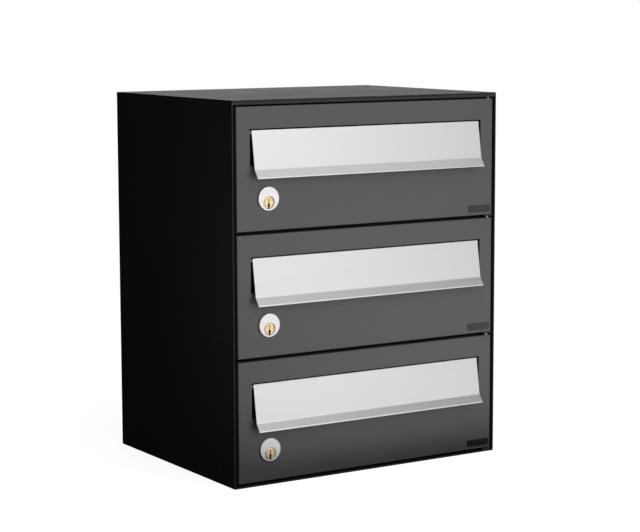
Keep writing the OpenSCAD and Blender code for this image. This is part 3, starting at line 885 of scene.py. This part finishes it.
class MAILBOX_OT_flap_rods(Operator):
    """Steel rods that the flaps turn on"""
    bl_idname = "mailbox.flap_rods"
    bl_label = "Flap Rods"

    def execute(self, context):
        low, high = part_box("lower_flap_rod")
        centre = middle("lower_flap_rod")
        radius, long, chamfer = (high.z - low.z) / 2, high.x - low.x, 0.35 * MM
        profile = [(0, 0), (radius - chamfer, 0), (radius, chamfer), (radius, long - chamfer),
                   (radius - chamfer, long), (0, long)]
        first = turned("lower_rod", profile, Vector((low.x, centre.y, centre.z)), X, 40)
        soften(first, 0, sharp=30)
        set_on_levels(first, "flap_rod", "rod", "{}_door", "drawn_rod")
        return {"FINISHED"}


class MAILBOX_OT_rod_clips(Operator):
    """Dished push-on clips that keep the rods in their brackets"""
    bl_idname = "mailbox.rod_clips"
    bl_label = "Rod Clips"

    def execute(self, context):
        low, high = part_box("lower_rod_clips")
        centre = middle("lower_rod_clips")
        rim, bore = (high.z - low.z) / 2, context.scene.mailbox_flap.clip_bore
        thick, dish = 0.35 * MM, 0.45 * MM
        profile = [(rim, 0), (rim - 0.45 * MM, 0), (bore, dish), (bore, dish + thick),
                   (rim - 0.4 * MM, thick), (rim, thick), (rim, 0)]
        right = turned("clip", profile, Vector((high.x - dish - thick, centre.y, centre.z)), X, 36)
        left = turned("clip_left", profile, Vector((low.x + dish + thick, centre.y, centre.z)), -X, 36)
        first = join([right, left], "lower_clip_pair")
        soften(first, 0, sharp=40)
        set_on_levels(first, "rod_clips", "clip_pair", "{}_door", "zinc_plate")
        return {"FINISHED"}


class MAILBOX_OT_flap_bumpers(Operator):
    """Domed rubber buffers that the flaps close against"""
    bl_idname = "mailbox.flap_bumpers"
    bl_label = "Flap Bumpers"

    def execute(self, context):
        sizes = context.scene.mailbox_flap
        low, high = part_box("lower_flap_bumpers")
        centre = middle("lower_flap_bumpers")
        radius, bend, tall = sizes.bumper_radius, sizes.bumper_round, high.y - low.y
        profile = [(0, tall)] + arc((radius - bend, tall - bend), bend, 90, 8, 5)
        profile += [(radius, tall * 0.2), (radius, 0), (0, 0)]
        left = turned("bumper", profile, Vector((low.x + radius, high.y, centre.z)), -Y, 40)
        right = copied(left, "bumper_copy", X * (high.x - low.x - 2 * radius))
        first = join([left, right], "lower_bumper_pair")
        soften(first, 0, sharp=40)
        set_on_levels(first, "flap_bumpers", "bumper_pair", "{}_door", "bumper_rubber")
        return {"FINISHED"}


class MAILBOX_OT_flaps(Operator):
    """Aluminium letter flaps with rounded bends and deburred ends"""
    bl_idname = "mailbox.flaps"
    bl_label = "Letter Flaps"

    def execute(self, context):
        sizes = context.scene.mailbox_flap
        first = merged_copy("lower_flap", "lower_flap_extrusion")
        low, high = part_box("lower_flap")
        edit(first)
        pick(first, "EDGE", lambda e: long_bend(e, high.x - low.x))
        bpy.ops.mesh.bevel(offset=sizes.bend_round, segments=4)
        object_mode()
        soften(first, sizes.edge_round, sharp=60)
        set_on_levels(first, "flap", "flap_extrusion", "{}_flap_leaf", "anodised_flap")
        return {"FINISHED"}


def long_bend(edge, width):
    """Is this a full-length edge where the section bends gently?"""
    turn = edge.calc_face_angle(0.0)
    return edge.calc_length() > 0.9 * width and radians(15) < turn < radians(60)


class MAILBOX_OT_lock_cases(Operator):
    """Lock faces with rounded rims and threaded housings, bored for the key plugs"""
    bl_idname = "mailbox.lock_cases"
    bl_label = "Lock Cases"

    def execute(self, context):
        sizes = context.scene.mailbox_lock
        low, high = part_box("lower_lock_body")
        face, bend, wall = (high.x - low.x) / 2, sizes.rim_round, sizes.housing_radius
        pitch, depth = sizes.thread_pitch, sizes.thread_depth
        front, end = low.y - DOOR_FACE, high.y - DOOR_FACE
        profile = [(0, front)] + arc((face - bend, front + bend), bend, -90, 0, 6)
        profile += [(face, -0.08 * MM), (face - 0.08 * MM, 0), (wall, 0)]
        turns = int((end - 2 * MM) / pitch)
        for turn in range(turns):
            start = 1 * MM + turn * pitch
            profile += [(wall, start), (wall - depth, start + pitch / 2)]
        profile += [(wall, 1 * MM + turns * pitch), (wall - 0.6 * MM, end), (0, end)]
        centre = Vector((middle("lower_lock_body").x, DOOR_FACE, middle("lower_lock_body").z))
        first = turned("lower_lock_case", profile, centre, Y, 96)
        bore, flare = sizes.bore_radius, sizes.bore_flare
        mouth = [(0, front - 2 * MM), (bore + flare, front - 2 * MM), (bore + flare, front),
                 (bore, front + flare), (bore, end + 2 * MM), (0, end + 2 * MM)]
        axis = Vector((centre.x, DOOR_FACE, middle("lower_lock_plug").z))
        cut(first, turned("bore", mouth, axis, Y, 72))
        soften(first, 0, sharp=35)
        set_on_levels(first, "lock_body", "lock_case", "{}_door", "satin_nickel")
        return {"FINISHED"}


class MAILBOX_OT_lock_nuts(Operator):
    """Hexagon nuts with chamfered corners"""
    bl_idname = "mailbox.lock_nuts"
    bl_label = "Lock Nuts"

    def execute(self, context):
        low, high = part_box("lower_lock_nut")
        seat = front_centre("lower_lock_nut")
        corner, thick = (high.x - low.x) / 2, high.y - low.y
        outline = [(corner * cos(tau * k / 6), corner * sin(tau * k / 6)) for k in range(6)]
        first = prism("lower_hex_nut", outline, seat, thick)
        flat, slope = corner * 0.88, 0.9 * MM
        barrel = [(0, 0), (flat, 0), (corner, slope), (corner, thick - slope), (flat, thick), (0, thick)]
        cut(first, turned("barrel", barrel, seat, Y, 96), "INTERSECT")
        bore, lead = context.scene.mailbox_lock.housing_radius, 0.5 * MM
        hole = [(0, -MM), (bore + lead + MM, -MM), (bore, lead), (bore, thick - lead),
                (bore + lead + MM, thick + MM), (0, thick + MM)]
        cut(first, turned("hole", hole, seat, Y, 96))
        soften(first, 0, sharp=20)
        set_on_levels(first, "lock_nut", "hex_nut", "{}_door", "zinc_plate")
        return {"FINISHED"}


def keyway_outline():
    """The keyway's outline from the plug's axis: a narrow head, wards and a wider foot, open below."""
    points = [(-0.6, 4.4), (0.4, 4.4), (0.4, 2.9), (0.8, 2.4), (0.8, 1.0), (0.2, 0.5), (0.2, -0.4),
              (1.4, -1.2), (1.4, -3.4), (1.0, -4.2), (1.0, -7.0), (-1.0, -7.0), (-1.0, -4.2),
              (-1.5, -3.4), (-1.5, -1.9), (-0.7, -1.3), (-0.7, 0.6), (-0.1, 1.2), (-0.1, 2.2), (-0.6, 2.7)]
    return [(across * MM, up * MM) for across, up in points]


class MAILBOX_OT_key_plugs(Operator):
    """Brass key plugs with a turned face, a keyway and a square tail"""
    bl_idname = "mailbox.key_plugs"
    bl_label = "Key Plugs"

    def execute(self, context):
        sizes = context.scene.mailbox_lock
        low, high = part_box("lower_lock_plug")
        axis = front_centre("lower_lock_plug")
        radius, groove = sizes.plug_radius, sizes.plug_groove
        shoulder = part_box("lower_lock_cam")[0].y - low.y
        ring = radius - 1.1 * MM
        profile = [(0, 0), (ring - groove, 0), (ring, groove), (ring + groove, 0), (radius - 0.35 * MM, 0),
                   (radius - 0.1 * MM, 0.1 * MM), (radius, 0.35 * MM), (radius, shoulder - 0.4 * MM),
                   (radius - 0.4 * MM, shoulder), (0, shoulder)]
        plug = turned("plug", profile, axis, Y, 96)
        cut(plug, prism("keyway", keyway_outline(), axis - Y * MM, sizes.keyway_depth + MM))
        soften(plug, 0, sharp=35)
        half = sizes.tail_side / 2
        tail = block("tail", Vector((axis.x - half, low.y + shoulder - MM, axis.z - half)),
                     Vector((axis.x + half, high.y, axis.z + half)))
        edit(tail)
        pick(tail, "EDGE", runs_back)
        bpy.ops.mesh.bevel(offset=0.5 * MM, segments=3)
        object_mode()
        soften(tail, 0.15 * MM, segments=2)
        first = join([plug, tail], "lower_key_plug")
        set_on_levels(first, "lock_plug", "key_plug", "{}_lock", "turned_brass")
        return {"FINISHED"}


class MAILBOX_OT_cam_plates(Operator):
    """Stamped cams with rounded edges"""
    bl_idname = "mailbox.cam_plates"
    bl_label = "Cams"

    def execute(self, context):
        first = merged_copy("lower_lock_cam", "lower_cam_plate")
        soften(first, context.scene.mailbox_lock.edge_round)
        set_on_levels(first, "lock_cam", "cam_plate", "{}_lock", "zinc_plate")
        return {"FINISHED"}


class MAILBOX_OT_cam_screws(Operator):
    """Pan-head screws with a cross recess that hold the cams"""
    bl_idname = "mailbox.cam_screws"
    bl_label = "Cam Screws"

    def execute(self, context):
        low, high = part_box("lower_cam_screw")
        foot = front_centre("lower_cam_screw")
        shank, head = context.scene.mailbox_lock.screw_radius, (high.x - low.x) / 2
        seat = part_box("lower_lock_cam")[1].y - low.y
        long, dome = high.y - low.y, 1.4 * MM
        profile = [(0, 0), (shank - 0.5 * MM, 0), (shank, 0.6 * MM), (shank, seat), (head - 0.1 * MM, seat),
                   (head, seat + 0.15 * MM)]
        profile += arc((head - dome, long - dome), dome, 0, 80, 6) + [(0, long)]
        first = turned("lower_pan_screw", profile, foot, Y, 48)
        for across, up in ((0.45, 2.1), (2.1, 0.45)):
            reach = Vector((across * MM, 0, up * MM))
            bottom, mouth = foot + Y * (long - 1.5 * MM), foot + Y * (long + MM)
            bar = block("recess", bottom - reach, mouth + reach)
            edit(bar)
            pick(bar, "FACE", lambda f: f.normal.y < -0.9)
            bpy.ops.transform.resize(value=(0.45, 1, 0.45), center_override=bottom)
            object_mode()
            cut(first, bar)
        soften(first, 0, sharp=35)
        set_on_levels(first, "cam_screw", "pan_screw", "{}_lock", "zinc_plate")
        return {"FINISHED"}


# ------------------------------------------------------------------ stage

def around(azimuth, elevation, distance):
    """A place on a sphere round the unit's centre, its angles in degrees."""
    turn, rise = radians(azimuth), radians(elevation)
    outward = Vector((sin(turn) * cos(rise), -cos(turn) * cos(rise), sin(rise)))
    return (CASING_LOW + CASING_HIGH) / 2 + outward * distance


def soft_box(name, place, aim, width, height, brightness):
    """A rectangular light turned from its place to its aim. Brightness is that of its face."""
    lamp = bpy.data.lights.new(name, "AREA")
    lamp.shape = "RECTANGLE"
    lamp.size = width
    lamp.size_y = height
    lamp.energy = brightness * pi * width * height
    stand = bpy.data.objects.new(name, lamp)
    stand.location = place
    stand.rotation_euler = (aim - place).to_track_quat("-Z", "Y").to_euler()
    stand.visible_camera = False
    bpy.context.scene.collection.objects.link(stand)


def grey(tone):
    """A neutral colour for a shader's socket."""
    return tone, tone, tone, 1.0


def studio_world(ambient):
    """A white backdrop for the camera and a dim room for everything else."""
    world = bpy.data.worlds.new("studio")
    world.use_nodes = True
    tree = world.node_tree
    tree.nodes.clear()
    room = add_node(tree, "ShaderNodeBackground", {"Color": grey(1), "Strength": ambient})
    white = add_node(tree, "ShaderNodeBackground", {"Color": grey(1), "Strength": 1.0})
    seen = add_node(tree, "ShaderNodeLightPath").outputs["Is Camera Ray"]
    both = add_node(tree, "ShaderNodeMixShader", {0: seen, 1: room.outputs[0], 2: white.outputs[0]})
    add_node(tree, "ShaderNodeOutputWorld", {"Surface": both.outputs[0]})
    bpy.context.scene.world = world


def floor_material(radius):
    """Pale floor that takes a soft shadow and fades into the backdrop; dim to all but the camera."""
    material = bpy.data.materials.new("pale_floor")
    material.use_nodes = True
    tree = material.node_tree
    tree.nodes.clear()
    place = add_node(tree, "ShaderNodeTexCoord").outputs["Object"]
    away = add_node(tree, "ShaderNodeVectorMath", {0: place}, operation="LENGTH").outputs["Value"]
    fade = spread(tree, away, 0.45 * radius, radius)
    pale = add_node(tree, "ShaderNodeBsdfDiffuse", {"Color": grey(0.55)}).outputs[0]
    glow = add_node(tree, "ShaderNodeEmission", {"Color": grey(1), "Strength": 0.9}).outputs[0]
    lit = add_node(tree, "ShaderNodeAddShader", {0: pale, 1: glow}).outputs[0]
    clear = add_node(tree, "ShaderNodeBsdfTransparent").outputs[0]
    shown = add_node(tree, "ShaderNodeMixShader", {0: fade, 1: lit, 2: clear}).outputs[0]
    dim = add_node(tree, "ShaderNodeBsdfDiffuse", {"Color": grey(0.03)}).outputs[0]
    seen = add_node(tree, "ShaderNodeLightPath").outputs["Is Camera Ray"]
    both = add_node(tree, "ShaderNodeMixShader", {0: seen, 1: dim, 2: shown}).outputs[0]
    add_node(tree, "ShaderNodeOutputMaterial", {"Surface": both})
    return material


class MAILBOX_OT_stage(Operator):
    """Pale floor, soft studio lights, white backdrop and the camera"""
    bl_idname = "mailbox.stage"
    bl_label = "Stage"

    def execute(self, context):
        stage = context.scene.mailbox_stage
        object_mode()
        bpy.ops.object.select_all(action="DESELECT")
        bpy.ops.mesh.primitive_circle_add(vertices=64, radius=stage.floor_radius, fill_type="NGON")
        floor = named("floor")
        floor.data.materials.append(floor_material(stage.floor_radius))
        centre = (CASING_LOW + CASING_HIGH) / 2
        soft_box("key", around(25, 12, 3.0), centre, 1.9, 2.7, stage.key)
        soft_box("front", around(0, 40, 2.2), centre, 2.0, 2.2, stage.front)
        soft_box("top", around(70, 58, 2.0), centre, 0.9, 0.9, stage.top)
        pool = Vector((0.45, -1.17, 0.01))
        soft_box("bounce", pool, pool + Z, 1.1, 1.96, stage.bounce)
        soft_box("left", around(-60, 22, 2.5), centre, 1.3, 1.6, stage.left)
        pool = Vector((-0.8, -1.2, 0.01))
        soft_box("left bounce", pool, pool + Z, 1.1, 1.6, stage.left)
        soft_box("rear", around(158, 16, 2.4), centre, 2.0, 1.6, stage.rear)
        edge = Vector((CASING_LOW.x - 0.18, DOOR_FACE - 0.03, centre.z))
        soft_box("strip", edge, edge + X, 0.05, 0.2, stage.strip)
        studio_world(stage.ambient)
        lens = bpy.data.cameras.new("camera")
        lens.sensor_width = 36.0
        lens.lens = stage.focal
        lens.clip_start = 0.05
        camera = bpy.data.objects.new("camera", lens)
        aim = (Matrix.Rotation(stage.azimuth, 4, "Z") @ Matrix.Rotation(pi / 2 - stage.elevation, 4, "X")
               @ Matrix.Rotation(stage.roll, 4, "Z"))
        camera.matrix_world = Matrix.Translation(Vector(stage.standpoint)) @ aim
        context.scene.collection.objects.link(camera)
        context.scene.camera = camera
        context.scene.view_settings.view_transform = "Standard"
        return {"FINISHED"}


OPERATORS = (
    MAILBOX_OT_finishes, MAILBOX_OT_casing_sheets, MAILBOX_OT_shelves, MAILBOX_OT_strikes,
    MAILBOX_OT_hinge_pins, MAILBOX_OT_back_rivets, MAILBOX_OT_door_trays, MAILBOX_OT_door_bushes,
    MAILBOX_OT_badges, MAILBOX_OT_flap_brackets, MAILBOX_OT_flap_rods, MAILBOX_OT_rod_clips,
    MAILBOX_OT_flap_bumpers, MAILBOX_OT_flaps, MAILBOX_OT_lock_cases, MAILBOX_OT_lock_nuts,
    MAILBOX_OT_key_plugs, MAILBOX_OT_cam_plates, MAILBOX_OT_cam_screws, MAILBOX_OT_stage,
)
SETTINGS = {
    "mailbox_casing": CasingSettings,
    "mailbox_door": DoorSettings,
    "mailbox_flap": FlapSettings,
    "mailbox_lock": LockSettings,
    "mailbox_finish": FinishSettings,
    "mailbox_stage": StageSettings,
}


class MAILBOX_PT_pieces(Panel):
    """Buttons for the unit's pieces, in the order in which they are made"""
    bl_idname = "MAILBOX_PT_pieces"
    bl_label = "Cluster Mailbox"
    bl_space_type = "VIEW_3D"
    bl_region_type = "UI"
    bl_category = "Mailbox"

    def draw(self, context):
        for operator in OPERATORS:
            self.layout.operator(operator.bl_idname)
        for name, group in SETTINGS.items():
            box = self.layout.box()
            for field in group.__annotations__:
                box.prop(getattr(context.scene, name), field)


def register():
    for group in SETTINGS.values():
        bpy.utils.register_class(group)
    for name, group in SETTINGS.items():
        setattr(bpy.types.Scene, name, PointerProperty(type=group))
    for made in (*OPERATORS, MAILBOX_PT_pieces):
        bpy.utils.register_class(made)


def unregister():
    for made in reversed((*OPERATORS, MAILBOX_PT_pieces)):
        bpy.utils.unregister_class(made)
    for name in SETTINGS:
        delattr(bpy.types.Scene, name)
    for group in SETTINGS.values():
        bpy.utils.unregister_class(group)


def main():
    """Makes every piece in order."""
    register()
    for operator in OPERATORS:
        group, name = operator.bl_idname.split(".")
        getattr(getattr(bpy.ops, group), name)()


if __name__ == "__main__":
    main()
